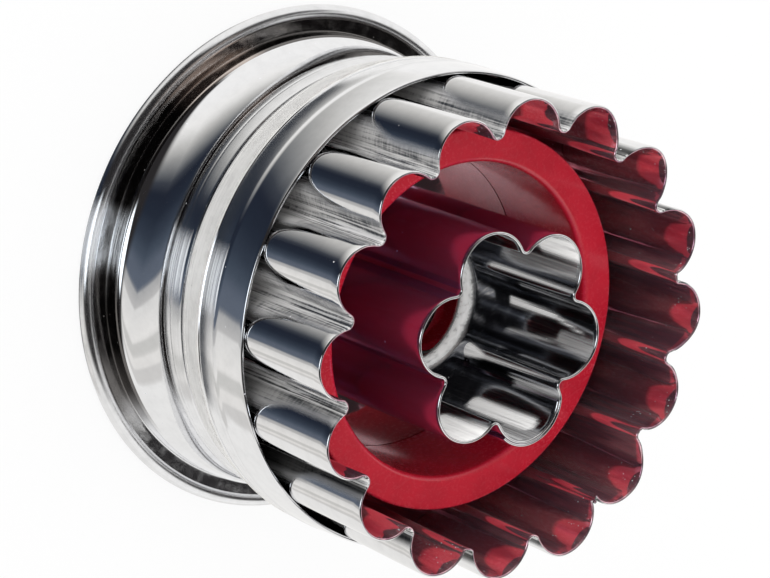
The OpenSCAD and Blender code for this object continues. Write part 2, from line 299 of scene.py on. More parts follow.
def add_share(piece, name, share_at):
    """An attribute that the piece's finish reads: share_at gives it from a point's index and place."""
    values = piece.data.attributes.new(name, "FLOAT", "POINT").data
    for index, vert in enumerate(piece.data.vertices):
        values[index].value = share_at(index, vert.co)


def grid_faces(columns, rows, wrap_columns=True):
    """Faces between neighbouring columns of points, with rows points in each ring."""
    faces = []
    for i in range(columns if wrap_columns else columns - 1):
        for j in range(rows):
            above = (j + 1) % rows
            here = i * rows
            there = (i + 1) % columns * rows
            faces.append((here + j, there + j, there + above, here + above))
    return faces


def lathe(profile, shape):
    """Points and faces of a closed (radius, height) profile turned round the axis.

    shape(turn, radius, height) gives each point's radius, which hand forming leaves a little out of round.
    """
    verts = []
    for i in range(STEPS_ROUND):
        turn = 2 * math.pi * i / STEPS_ROUND
        for p in profile:
            verts.append((*polar(shape(turn, p.x, p.y), turn), p.y))
    return verts, grid_faces(STEPS_ROUND, len(profile))


def out_of_round(depth, lobes, phase):
    """A shape for lathe(): the radius shrinks a little, more on some sides than on others."""
    def shape(turn, radius, height):
        dip = 0.5 - 0.5 * math.cos(lobes * turn + phase)
        wave = 0.25 * (1 + noise.noise(Vector((3 * math.cos(turn), 3 * math.sin(turn), height * 90))))
        return radius - depth * (0.6 * dip + wave * 0.4)
    return shape


# The steel shell and its collar

def foot_point(s):
    """Foot of the neck, where the step up from the flange ends, as (radius, height)."""
    return Vector((s.rim_radius - s.rim_width, s.foot_height))


def roll_line(s):
    """Middle line of the rolled sheet, flattened where it stands, from the flange back to its hidden end."""
    centre = Vector((s.rim_radius - s.roll_radius, s.roll_radius - s.roll_flat))
    radius = s.roll_radius - s.sheet / 2
    points = []
    for p in arc((0, 0), radius, 112, -173, 44):
        points.append(centre + p - Vector((0, min(p.y, 0) * s.roll_flat / radius)))
    return points


def flange_line(s, start, step=True):
    """From the roll, across the flat flange and up a small step to the neck's foot."""
    foot = foot_point(s)
    edge = Vector((start.x - 0.26 * MM, s.flange_height))
    wall = Vector((foot.x + 0.4 * MM, s.flange_height))
    line = bow(start, edge + mm(0.14, -0.03), edge, 6)
    if not step:
        return line + bow(wall + mm(0.5, -0.05), wall, foot, 10)[:-1]
    corner = wall + mm(0, 0.07)
    line += [edge.lerp(corner, i / 6) for i in range(1, 6)]
    line += bow(corner + mm(0.14), corner, corner + mm(0, 0.14), 5)
    top = Vector((wall.x - 0.02 * MM, foot.y - 0.55 * MM))
    line += [line[-1].lerp(top, i / 4) for i in range(1, 4)]
    return line + bow(top, top + mm(-0.01, 0.22), foot + mm(0.16, -0.2), 6)


def neck_line(s, grooves=True):
    """From the neck's foot over waist, ridge and valley to the flared mouth at the seam."""
    foot = foot_point(s)
    waist = Vector((foot.x - s.foot_flare, s.waist_height))
    ridge = Vector((waist.x + s.ridge_rise, s.ridge_height))
    valley = Vector((ridge.x - 0.2 * MM, s.valley_height))
    mouth = Vector((s.mouth_radius - s.mouth_flare, s.mouth_height))
    front = Vector((s.mouth_radius, s.seam_height - s.seam_gap))
    slope = s.mouth_flare / (s.seam_height - s.mouth_height)
    groove = mouth + Vector((slope, 1)) * 0.42 * MM
    line = quarter(waist, foot, 18, 55)[::-1]
    line += quarter(waist, ridge + mm(-0.12, -0.45), 12)[1:]
    line += bow(ridge + mm(-0.09, -0.36), ridge + mm(0.03), ridge + mm(0, 0.5), 7)
    if grooves:
        line.append(ridge + mm(-0.035, 0.57))
    line += bow(ridge + mm(0, 0.7), ridge + mm(-0.03, 1.2), valley, 8)
    line += bow(valley + mm(0, 0.06), Vector((valley.x, mouth.y)) + mm(0.1, -0.25), mouth, 8)
    if grooves:
        line += [groove, groove + mm(-0.03, 0.06)]
    behind = groove + mm(0.02, 0.12)
    return line + [behind.lerp(front, i / 8) for i in range(9)]


def make_shell(s):
    """The handle shell: roll, flange, neck and flared mouth, in one sheet."""
    middle = roll_line(s)
    roll_out = beside(middle, -s.sheet / 2)[::-1]
    start = roll_out[-1]
    inner = beside(flange_line(s, start, False) + neck_line(s, False), -s.sheet)
    inner = [p for p in inner if p.y < s.seat_height - s.sheet * 1.02]
    seat = Vector((s.collar_radius - s.collar_sheet + 0.02 * MM, s.seat_height))
    lip = seat - mm(1.37)
    profile = roll_out + flange_line(s, start)[1:] + neck_line(s)
    profile += [Vector((s.mouth_radius, s.seam_height)) - mm(0.12, 0.02),
                Vector((seat.x, s.seam_height - 0.03 * MM)), seat, lip, lip - Vector((0, s.sheet)),
                Vector((inner[-1].x - 0.12 * MM, lip.y - s.sheet))]
    profile += inner[::-1][:-3] + beside(middle, s.sheet / 2)
    profile = [Vector((p.x, max(p.y, 0.001 * MM))) for p in profile]
    verts, faces = lathe(profile, out_of_round(0.10 * MM, 2, 0.8))
    piece = add_piece("shell_polished", verts, faces, "mirror_steel", "handle_shell")
    foot = foot_point(s)
    roll_side = s.rim_radius - 2 * s.roll_radius + 0.4 * MM
    ridge_low = s.ridge_height - 0.6 * MM
    ridge_high = s.valley_height - 0.2 * MM
    mouth_radius = s.mouth_radius - s.mouth_flare - 0.02 * MM
    mouth_low = s.mouth_height - 0.02 * MM
    flange_low = s.flange_height - 0.12 * MM
    step_high = s.foot_height - 0.15 * MM
    finished_parts(piece, profile, "turned_steel",
                   lambda p: p.x > roll_side and p.y < 2 * s.roll_radius or ridge_low < p.y < ridge_high)
    finished_parts(piece, profile, "satin_steel", lambda p: p.x > mouth_radius and p.y > mouth_low)
    finished_parts(piece, profile, "flange_steel",
                   lambda p: foot.x < p.x < roll_side + 0.02 * MM and flange_low < p.y < step_high)


def make_collar(s):
    """The collar: a thin hem, a rounded shoulder and a band, pressed over the front of the shell."""
    bore = s.collar_radius - s.collar_sheet
    hem = Vector((s.mouth_radius - 0.06 * MM, s.seam_height))
    hem_top = hem + Vector((0, s.hem_width))
    swell = Vector((s.collar_radius + s.collar_swell, s.collar_front - s.band_width))
    profile = [Vector((bore, hem.y)), hem - mm(0.12)]
    profile += arc(hem + mm(-0.12, 0.12), 0.12 * MM, -60, 0, 4)
    profile += [hem_top - mm(0, 0.08), hem_top - mm(0.07)]
    start = hem_top + mm(-0.07, 0.06)
    top = swell + mm(0.06, -0.1)
    drop = top - start
    bend = drop.length_squared / (2 * drop.x)
    steps = 22
    for i in range(steps + 1):
        down = drop.y * (1 - i / steps)
        profile.append(Vector((top.x - bend + math.sqrt(bend * bend - down * down), top.y - down)))
    band_rear = swell + mm(0, 0.24)
    band_front = Vector((s.collar_radius, s.collar_front - 0.16 * MM))
    profile += [swell + mm(0.05, 0.1), band_rear]
    steps = 12
    for i in range(1, steps):
        bulge = 0.03 * MM * math.sin(math.pi * i / steps)
        profile.append(band_rear.lerp(band_front, i / steps) + Vector((bulge, 0)))
    profile += arc(band_front - mm(0.16), 0.16 * MM, 0, 90, 5)
    profile += arc((bore + 0.12 * MM, s.collar_front - 0.12 * MM), 0.12 * MM, 90, 180, 4)
    verts, faces = lathe(profile, out_of_round(0.06 * MM, 3, 1.9))
    piece = add_piece("collar_polished", verts, faces, "mirror_steel", "front_collar")
    shoulder_low = hem_top.y - 0.01 * MM
    shoulder_high = swell.y + 0.15 * MM
    finished_parts(piece, profile, "shoulder_steel",
                   lambda p: p.x > bore + 0.1 * MM and shoulder_low < p.y < shoulder_high)
    finished_parts(piece, profile, "satin_steel", lambda p: p.x > hem.x - 0.13 * MM and p.y < hem_top.y)


# The two cutter strips

def lobed_line(ring, round_r, valley, count, lobe_steps, bend_steps):
    """Middle line of rounded lobes joined by bends, and the turn at which a lobe ends.

    The line is a list of (point, outward normal, lobe, turn on the lobe).
    """
    half = math.pi / count
    reach_out = math.sqrt((round_r + valley) ** 2 - (ring * math.sin(half)) ** 2)
    bend = polar(ring * math.cos(half) + reach_out, half)
    lean = bend - Vector((ring, 0))
    reach = math.atan2(lean.y, lean.x)
    turn = reach - half
    line = []
    for k in range(count):
        spin = Matrix.Rotation(2 * half * k, 2)
        for i in range(lobe_steps + 1):
            a = -reach + 2 * reach * i / lobe_steps
            out = polar(1, a)
            line.append((spin @ (Vector((ring, 0)) + out * round_r), spin @ out, k, a))
        for i in range(1, bend_steps):
            out = polar(1, half + math.pi + turn - 2 * turn * i / bend_steps)
            line.append((spin @ (bend + out * valley), spin @ -out, k, None))
    return line, reach


def strip_faces(columns, rows, closed):
    """Faces of an upright strip, with end caps where it isn't closed."""
    faces = grid_faces(columns, rows, closed)
    last = (columns - 1) * rows
    for j in range(0 if closed else rows // 2):
        far = rows - 1 - j
        cap = (j, j + 1, far - 1, far) if far - j > 2 else (j, j + 1, far)
        faces.append(cap)
        faces.append(tuple(last + v for v in reversed(cap)))
    return faces


def strip_points(line, rear, front, sheet, sway, rows, round_steps=6):
    """Points of a strip of sheet that stands on its rear edge, with a rounded front edge.

    sway(point, normal, share) gives how far the sheet leans out at a share of its height. The first rows
    points of each ring lie on the outer side, and the last rows points on the inner side.
    """
    half = sheet / 2
    heights = [rear + (front - half - rear) * j / (rows - 1) for j in range(rows)]
    section = [(half, z) for z in heights]
    section += [(half * math.cos(a), front - half + half * math.sin(a))
                for a in (math.pi * i / round_steps for i in range(1, round_steps))]
    section += [(-half, z) for z in reversed(heights)]
    verts = []
    for p, n in line:
        for offset, z in section:
            moved = p + n * (offset + sway(p, n, (z - rear) / (front - rear)))
            verts.append((moved.x, moved.y, z))
    return verts, len(section)


def between(points, x):
    """A smooth value at x between (x, value) points in rising order."""
    for (x0, v0), (x1, v1) in zip(points, points[1:]):
        if x <= x1:
            return v0 + (v1 - v0) * ease((x - x0) / (x1 - x0))
    return points[-1][1]


# How far the fluted edge is bent out by use, in millimetres, at angles in degrees round the axis
BENT_EDGE = (
    (0, 0.0), (112, 0.1), (135, 0.35), (156, 0.35), (168, 0.2), (179, 0.85), (190, 1.15), (202, 0.65),
    (213, 0.0), (224, -0.2), (235, -0.2), (247, 0.4), (270, 0.4), (281, 0.0), (292, 0.4), (304, -0.3),
    (315, 0.25), (330, 0.0), (360, 0.0))


def make_fluted_strip(s):
    """The fluted outer cutter, a strip bent into flutes by hand-fed rollers."""
    half = math.pi / s.flute_count
    fill = math.sin(half) / math.sin(s.flute_span / 2 - half)
    tip = s.flute_tip - s.sheet / 2
    round_r = (fill * tip - s.flute_valley) / (1 + fill)
    line, _ = lobed_line(tip - round_r, round_r, s.flute_valley, s.flute_count, 34, 12)

    def sway(p, n, share):
        free = ease((share - 0.3) / 0.6)
        broad = noise.noise(Vector((p.x * 150, p.y * 150, share * 1.5 + 4)))
        fine = noise.noise(Vector((p.x * 900, p.y * 900, share * 3 + 9)))
        bent = between(BENT_EDGE, math.degrees(math.atan2(p.y, p.x)) % 360) * ease(share)
        return MM * (free * (0.05 * broad + 0.012 * fine) - 0.03 * (1 - free) + bent * p.normalized().dot(n))

    verts, rows = strip_points([item[:2] for item in line], s.strip_rear, s.flute_front, s.sheet, sway, 22)
    add_piece("fluted_strip", verts, strip_faces(len(line), rows, True), "flute_steel",
              "fluted_cutter")


# Painted reflection spots inside the flower cup: two ends, half width at each end (all in millimetres) and
# brightness
PAINTED_SPOTS = (
    ((4.2, -10.15, 30.5), (4.6, -10.1, 36.6), 1.15, 1.6, 1.0),
    ((1.1, -7.9, 21.4), (0.5, -8.55, 23.5), 0.4, 0.3, 1.0),
    ((0.5, -8.58, 23.5), (0.5, -8.6, 36.4), 0.3, 0.22, 1.0),
    ((-4.6, -10.05, 22.9), (-4.7, -10.05, 29.5), 0.5, 0.36, 1.0),
    ((-4.7, -10.05, 29.5), (-5.5, -9.8, 33.8), 0.34, 0.2, 0.8),
    ((1.8, -9.6, 24.5), (2.0, -9.7, 36.4), 0.7, 0.8, 0.22),
    ((-6.4, -9.2, 31.0), (-6.6, -9.0, 36.6), 0.8, 1.2, 0.30),
    ((-11.1, 0.8, 31.5), (-11.1, 0.8, 36.6), 1.0, 1.6, 0.35),
    ((-7.0, -8.3, 23.4), (-6.6, -8.9, 33.0), 0.34, 0.2, 0.45),
    ((-7.4, -4.1, 21.4), (-7.5, -4.0, 24.6), 0.8, 0.3, 1.0),
    ((-7.5, -4.0, 24.6), (-7.25, -4.15, 36.0), 0.3, 0.16, 0.9),
    ((-11.1, -0.9, 25.2), (-11.1, -0.9, 33.5), 0.85, 0.95, 0.95),
    ((-7.5, 6.6, 29.8), (-7.2, 7.6, 36.6), 1.1, 2.6, 1.0),
    ((-9.1, -3.75, 29.2), (-8.6, -3.85, 35.6), 0.5, 0.5, 0.35),
)


def painted_sheen(place):
    """How bright the painted reflection is at a place inside the flower cup, from 0 to 1."""
    place = place / MM
    best = 0
    for p, q, start, end, strength in PAINTED_SPOTS:
        p, q = Vector(p), Vector(q)
        along = min(max((place - p).dot(q - p) / (q - p).length_squared, 0), 1)
        reach = start + (end - start) * along
        gap = (place - p.lerp(q, along)).length
        best = max(best, strength * ease((reach * 1.25 - gap) / max(reach * 0.6, 0.4)))
    return best


def lapped_line(s):
    """Middle line of the flower strip, a list of (point, outward normal).

    It runs from its inner end on the lapped petal round the flower, and then over that end again, a sheet
    further out.
    """
    line, reach = lobed_line(s.petal_ring, s.petal_round, s.petal_valley, s.petal_count, 40, 12)
    half_lap = s.lap_angle / 2

    def on_lap(item):
        return item[2] == s.lap_petal and item[3] is not None

    around = line[::-1]
    inner_end = next(i for i, item in enumerate(around) if on_lap(item) and item[3] <= half_lap)
    path = around[inner_end:] + around[:inner_end]
    rising = [item for item in path if on_lap(item) and item[3] > half_lap]
    again = [item for item in path if on_lap(item) and -half_lap <= item[3] <= half_lap]
    points = [item[:2] for item in path if item not in rising]
    for p, n, _, turn in rising + again:
        points.append((p + n * s.sheet * 1.06 * ease((reach - turn) / (reach - half_lap)), n))
    return points


def make_flower_strip(s):
    """The flower cutter: one strip whose outer end is lapped over its inner end round one petal."""
    def sway(p, n, share):
        return ease(share) * 0.07 * MM * noise.noise(Vector((p.x * 260, p.y * 260, share * 1.2 + 2)))

    height_steps = 40
    points = lapped_line(s)
    verts, rows = strip_points(points, s.strip_rear, s.petal_front, s.sheet, sway, height_steps)
    faces = strip_faces(len(points), rows, False)
    piece = add_piece("flower_strip", verts, faces, "flower_steel", "flower_cutter")
    inner_from = rows - height_steps
    add_share(piece, "painted_sheen", lambda index, place: painted_sheen(place) if index % rows >= inner_from else 0.0)
    add_share(piece, "inside", lambda index, place: float(index % rows >= inner_from))
    add_share(piece, "outside", lambda index, place: float(index % rows < height_steps))


def make_flower_base(s):
    """The floor of the flower cup, drawn down into a neck that is flared behind the web plate."""
    line, _ = lobed_line(s.petal_ring, s.petal_round, s.petal_valley, s.petal_count, 30, 10)
    edge = [p - n * (s.sheet / 2 + 0.01 * MM) for p, n, _, _ in line]
    floor_z = s.petal_front - s.cup_depth
    under_z = floor_z - s.cup_sheet
    bore = s.neck_radius - s.cup_sheet
    flare = bore + s.flare_width + s.cup_sheet
    flare_z = s.neck_rear
    draw = 1.3 * MM
    drawn_z = floor_z - draw
    rings = []

    def circle(radius, z, share=0.0):
        """A ring of points that a share takes from a circle to the flower's edge."""
        rings.append([(*(p.normalized() * radius).lerp(p, share), z) for p in edge])

    circle(flare, flare_z + s.cup_sheet)
    circle(flare, flare_z + 0.08 * MM)
    circle(flare - 0.08 * MM, flare_z)
    circle(bore + 0.35 * MM, flare_z)
    circle(bore + 0.1 * MM, flare_z + 0.1 * MM)
    straight_z = flare_z + 0.35 * MM
    for i in range(9):
        circle(bore, straight_z + (drawn_z - straight_z) * i / 8)
    for i in range(1, 9):
        a = math.pi / 2 * i / 8
        circle(bore + draw * (1 - math.cos(a)), drawn_z + draw * math.sin(a))
    for share in (0.2, 0.5, 0.8, 1):
        circle(bore + draw, floor_z, share)
    for share in (1, 0.66, 0.33):
        circle(s.neck_radius + draw, under_z, share)
    circle(s.neck_radius + draw * 0.6, under_z)
    circle(s.neck_radius, under_z - draw * 0.6)
    circle(s.neck_radius, flare_z + s.cup_sheet)
    verts = [ring[i] for i in range(len(edge)) for ring in rings]
    faces = grid_faces(len(edge), len(rings))
    piece = add_piece("flower_cup_floor", verts, faces, "cup_steel", "flower_base")

    def wear_and_painted_light(index, place):
        """Brightest where the floor is drawn over into the neck: a painted highlight, which glows a little.
        """
        height = (place.z - drawn_z) / draw
        out = (place.xy.length - bore) / draw
        if not (-0.01 < height < 1.01 and out < 1.01):
            return 0.0
        return 0.9 * ease((height + 0.1) / 0.4) * ease((0.75 - out) / 0.4)

    add_share(piece, "painted_sheen", wear_and_painted_light)
    add_share(piece, "inside", lambda index, place: float(place.z > drawn_z + 0.01 * MM))


# The return spring

def make_spring(s):
    """The return spring: open curls with a closed curl at each end."""
    half = s.wire / 2
    closed = 0.75
    steps_a_turn = 64
    sides = 14
    turns = s.curls + 2 * closed
    steps = round(turns * steps_a_turn)
    creep = s.wire * 1.04
    rise = s.front - s.rear - s.wire - 2 * closed * creep
    verts = []
    for i in range(steps + 1):
        turn = turns * i / steps
        ends = min(turn, closed) + max(turn - (turns - closed), 0)
        middle = min(max(turn - closed, 0), s.curls)
        outward = polar(1, 2 * math.pi * turn).to_3d()
        along = Vector((-outward.y, outward.x, 0.06)).normalized()
        upward = outward.cross(along)
        centre = outward * s.radius + Vector((0, 0, s.rear + half + creep * ends + rise * middle / s.curls))
        for j in range(sides):
            across, up = polar(half, 2 * math.pi * j / sides)
            verts.append(centre + outward * across + upward * up)
    faces = grid_faces(steps + 1, sides, False)
    faces.append(tuple(range(sides)))
    faces.append(tuple(reversed(range(steps * sides, (steps + 1) * sides))))
    piece = add_piece("spring_wire_coil", verts, faces, "wire_steel", "return_spring")
    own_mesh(piece)


# Materials

class Shader:
    """Builds the nodes of a material or a world from short calls. Colours have three values."""

    def __init__(self, owner):
        owner.use_nodes = True
        self.owner = owner
        self.tree = owner.node_tree
        self.tree.nodes.clear()

    def add(self, kind, inputs=None, **settings):
        """A node with its settings, and its inputs set or linked by name or number."""
        made = self.tree.nodes.new("ShaderNode" + kind)
        for key, value in settings.items():
            setattr(made, key, value)
        for key, value in (inputs or {}).items():
            socket = made.inputs[key]
            if isinstance(value, bpy.types.NodeSocket):
                self.tree.links.new(value, socket)
            elif socket.type == "RGBA":
                socket.default_value = (*value, 1.0)
            else:
                socket.default_value = value
        return made

    def math(self, operation, a, b=0.0, clamp=False):
        return self.add("Math", {0: a, 1: b}, operation=operation, use_clamp=clamp).outputs[0]

    def times(self, a, b):
        return self.math("MULTIPLY", a, b)

    def plus(self, a, b, clamp=False):
        return self.math("ADD", a, b, clamp)

    def minus(self, a, b, clamp=False):
        return self.math("SUBTRACT", a, b, clamp)

    def vector(self, operation, a, b=(0, 0, 0), output="Value"):
        return self.add("VectorMath", {0: a, 1: b}, operation=operation).outputs[output]

    def ramp(self, value, low_in, high_in, low_out=0.0, high_out=1.0, kind="SMOOTHSTEP"):
        inputs = {0: value, 1: low_in, 2: high_in, 3: low_out, 4: high_out}
        return self.add("MapRange", inputs, interpolation_type=kind).outputs[0]

    def mix(self, share, a, b, kind="MIX"):
        return self.add("Mix", {0: share, 6: a, 7: b}, data_type="RGBA", blend_type=kind).outputs[2]

    def attribute(self, name):
        return self.add("Attribute", attribute_name=name).outputs["Fac"]

    def place(self):
        """The place of a point in the cutter's frame."""
        return self.add("TexCoord").outputs["Object"]

    def noise(self, place, scale, detail, roughness):
        """Noise of one scale, or of a scale along each axis."""
        if isinstance(scale, tuple):
            place = self.add("Mapping", {"Vector": place, "Scale": scale}).outputs[0]
            scale = 1.0
        inputs = {"Vector": place, "Scale": scale, "Detail": detail, "Roughness": roughness}
        return self.add("TexNoise", inputs).outputs[0]

    def flat(self, place):
        """A place without its height."""
        return self.add("Mapping", {"Vector": place, "Scale": (1, 1, 0)}).outputs[0]

    def from_axis(self, place):
        """Distance of a place from the cutter's axis."""
        return self.vector("LENGTH", self.flat(place))

    def outward(self, place):
        """Direction from the cutter's axis to a place."""
        return self.vector("NORMALIZE", self.flat(place), output="Vector")

    def facing(self, outward, degrees, start, end, low=0.0, high=1.0):
        """A ramp over the cosine between a direction from the axis and an angle round it."""
        turn = math.radians(degrees)
        lean = self.vector("DOT_PRODUCT", outward, (math.cos(turn), math.sin(turn), 0))
        return self.ramp(lean, start, end, low, high)

    def rings(self, place, scale, roughness):
        """Noise that stays the same round the axis, as fine turning marks do."""
        height = self.add("SeparateXYZ", {0: place}).outputs[2]
        turned = self.add("CombineXYZ", {0: self.from_axis(place), 1: height}).outputs[0]
        return self.noise(turned, scale, 3, roughness)

    def dust(self, place, scale, share, size):
        """1 on small specks and 0 elsewhere. The share of the cells that have a speck is given."""
        cells = self.add("TexVoronoi", {"Vector": place, "Scale": scale, "Randomness": 1.0})
        near = self.ramp(cells.outputs["Distance"], size, size * 0.5)
        pick = self.add("SeparateColor", {0: cells.outputs["Color"]}).outputs[0]
        return self.times(near, self.math("GREATER_THAN", pick, 1 - share))

    def bump(self, height, distance, strength=1.0, under=None):
        inputs = {"Strength": strength, "Distance": distance, "Height": height}
        if under:
            inputs["Normal"] = under
        return self.add("Bump", inputs).outputs[0]

    def surface(self, **look):
        """Finishes the material with a surface, whose sockets are named with underscores for spaces."""
        inputs = {key.replace("_", " "): value for key, value in look.items()}
        self.output("Material", self.add("BsdfPrincipled", inputs))
        return self.owner

    def blend(self, share, a, b):
        """Two shaders mixed by a share."""
        return self.add("MixShader", {0: share, 1: a.outputs[0], 2: b.outputs[0]})

    def output(self, kind, shader):
        self.tree.links.new(shader.outputs[0], self.add("Output" + kind).inputs[0])


def shaded(tint, share):
    """A tint, darkened to a share of itself."""
    return tuple(c * share for c in tint)


def painted_lamp_streak(sh, outward, lines):
    """1 on the painted highlight along the shell, a pale streak facing 57 degrees round the axis, and 0
    elsewhere.
    """
    return sh.times(sh.facing(outward, 57, 0.986, 1.0), sh.ramp(lines, 0.35, 0.65, 0.25, 0.9))


# Colour of the painted lamp highlight
PAINTED_HIGHLIGHT = (0.90, 0.94, 0.98)


def painted_flange_shade(sh, place, lines, look):
    """Paints shade on the flange, darker on one side with a brown patch in the dark part, and a painted lamp
    highlight beside it.
    """
    outward = sh.outward(place)
    # Painted shade: the flange is darker on the side facing 20 degrees round the axis
    shade = sh.mix(sh.facing(outward, 20, -0.03, 0.26), look["Base_Color"], (0.17, 0.162, 0.158))
    shade = sh.mix(sh.facing(outward, 8, 0.965, 0.997), shade, (0.60, 0.53, 0.49))
    streak = painted_lamp_streak(sh, outward, lines)
    look["Base_Color"] = sh.mix(streak, shade, PAINTED_HIGHLIGHT)
    look["Metallic"] = sh.minus(look["Metallic"], sh.times(streak, 0.5), True)


def painted_cup_light(sh, place, lines, look):
    """Paints light and shade on the flower cup: painted shade darkens the inside, painted reflection spots
    with a slight glow brighten it, and the outside gets a painted reflection of the ring's red.
    """
    inside = sh.attribute("inside")
    outside = sh.attribute("outside")
    # Painted shade: the inside of the cup is darkened, with some streaks
    dull = sh.mix(sh.ramp(lines, 0.48, 0.70), (0.30, 0.31, 0.34), (0.62, 0.62, 0.62))
    shade = sh.mix(inside, look["Base_Color"], dull)
    # Painted reflection of the red ring on the outside
    shade = sh.mix(outside, shade, (0.50, 0.30, 0.58))
    # Painted reflection spots, which glow a little as well
    spot = sh.math("MULTIPLY", sh.attribute("painted_sheen"), sh.ramp(lines, 0.32, 0.52, 0.6, 1.0), True)
    rough = sh.plus(look["Roughness"], sh.times(outside, 0.13), True)
    rough = sh.plus(rough, sh.times(inside, 0.10), True)
    look["Roughness"] = sh.plus(rough, sh.times(spot, 0.3), True)
    look["Base_Color"] = sh.mix(spot, shade, (0.93, 0.92, 0.90))
    look["Metallic"] = sh.minus(sh.minus(look["Metallic"], sh.times(outside, 0.04), True), spot, True)
    look["Emission_Color"] = sh.mix(spot, (0, 0, 0), (0.34, 0.335, 0.33))
    look["Emission_Strength"] = 1.0


def steel(name, tint, roughness, wave, waves, scratch, specks, wear_and_painted_light=None):
    """Mirror-bright sheet steel with broad waves from forming, fine draw marks and dust.

    waves and scratch are how many waves and marks a metre holds along each axis, and the last argument paints
    shade, highlights and reflections, and for the flange a brown patch, onto the steel.
    """
    sh = Shader(bpy.data.materials.new(name))
    place = sh.place()
    haze = sh.noise(place, 700, 4, 0.6)
    lines = sh.noise(place, scratch, 3, 0.6)
    mask = sh.dust(place, 1500, specks, 0.16)
    rough = sh.ramp(haze, 0.35, 0.75, roughness * 0.6, roughness * 1.7)
    rough = sh.plus(rough, sh.ramp(lines, 0.55, 0.8, 0.0, roughness))
    shade = sh.mix(sh.ramp(haze, 0.3, 0.8), tint, shaded(tint, 0.93))
    bump = sh.bump(sh.noise(place, waves, 2, 0.4), wave)
    look = {
        "Base_Color": sh.mix(mask, shade, bpy.context.scene.cutter_colours.dust),
        "Metallic": sh.minus(1.0, sh.times(mask, 0.75)),
        "Roughness": sh.plus(rough, sh.times(mask, 0.4), True),
        "Normal": sh.bump(lines, 0.002 * MM, 0.35, bump),
    }
    if wear_and_painted_light:
        wear_and_painted_light(sh, place, lines, look)
    return sh.surface(**look)


def turned_steel(name, tint, roughness):
    """Steel polished on a lathe: its fine rings spread each reflection across them, and a painted lamp
    highlight lies along one side.
    """
    sh = Shader(bpy.data.materials.new(name))
    place = sh.place()
    rings = sh.rings(place, 9000, 0.7)
    haze = sh.noise(place, 600, 4, 0.6)
    # Painted highlight: a pale streak on one side, where a lamp's sheen is painted in
    streak = painted_lamp_streak(sh, sh.outward(place), rings)
    shade = sh.mix(sh.ramp(sh.plus(rings, haze), 0.7, 1.3), tint, shaded(tint, 0.9))
    shade = sh.mix(sh.dust(place, 1500, 0.02, 0.16), shade, (0.9, 0.9, 0.92))
    return sh.surface(
        Base_Color=sh.mix(streak, shade, PAINTED_HIGHLIGHT),
        Metallic=sh.minus(1.0, sh.times(streak, 0.85), True),
        Roughness=sh.ramp(haze, 0.3, 0.7, roughness * 0.9, roughness * 1.1),
        Normal=sh.bump(rings, 0.002 * MM, 0.1),
        Anisotropic=1.0,
        Anisotropic_Rotation=0.25,
        Tangent=sh.add("Tangent", direction_type="RADIAL", axis="Z").outputs[0])


def satin_steel(name, tint):
    """Steel with a dull white grain, as it is left where the shell was trimmed and flared."""
    sh = Shader(bpy.data.materials.new(name))
    place = sh.place()
    rings = sh.rings(place, 5000, 0.6)
    haze = sh.noise(place, 500, 4, 0.6)
    shade = sh.mix(sh.ramp(sh.plus(rings, haze), 0.8, 1.25), tint, shaded(tint, 0.8))
    return sh.surface(
        Base_Color=sh.mix(sh.dust(place, 1700, 0.02, 0.16), shade, (0.3, 0.3, 0.31)),
        Metallic=0.35,
        Roughness=sh.ramp(haze, 0.3, 0.7, 0.38, 0.5),
        Normal=sh.bump(rings, 0.003 * MM, 0.3))


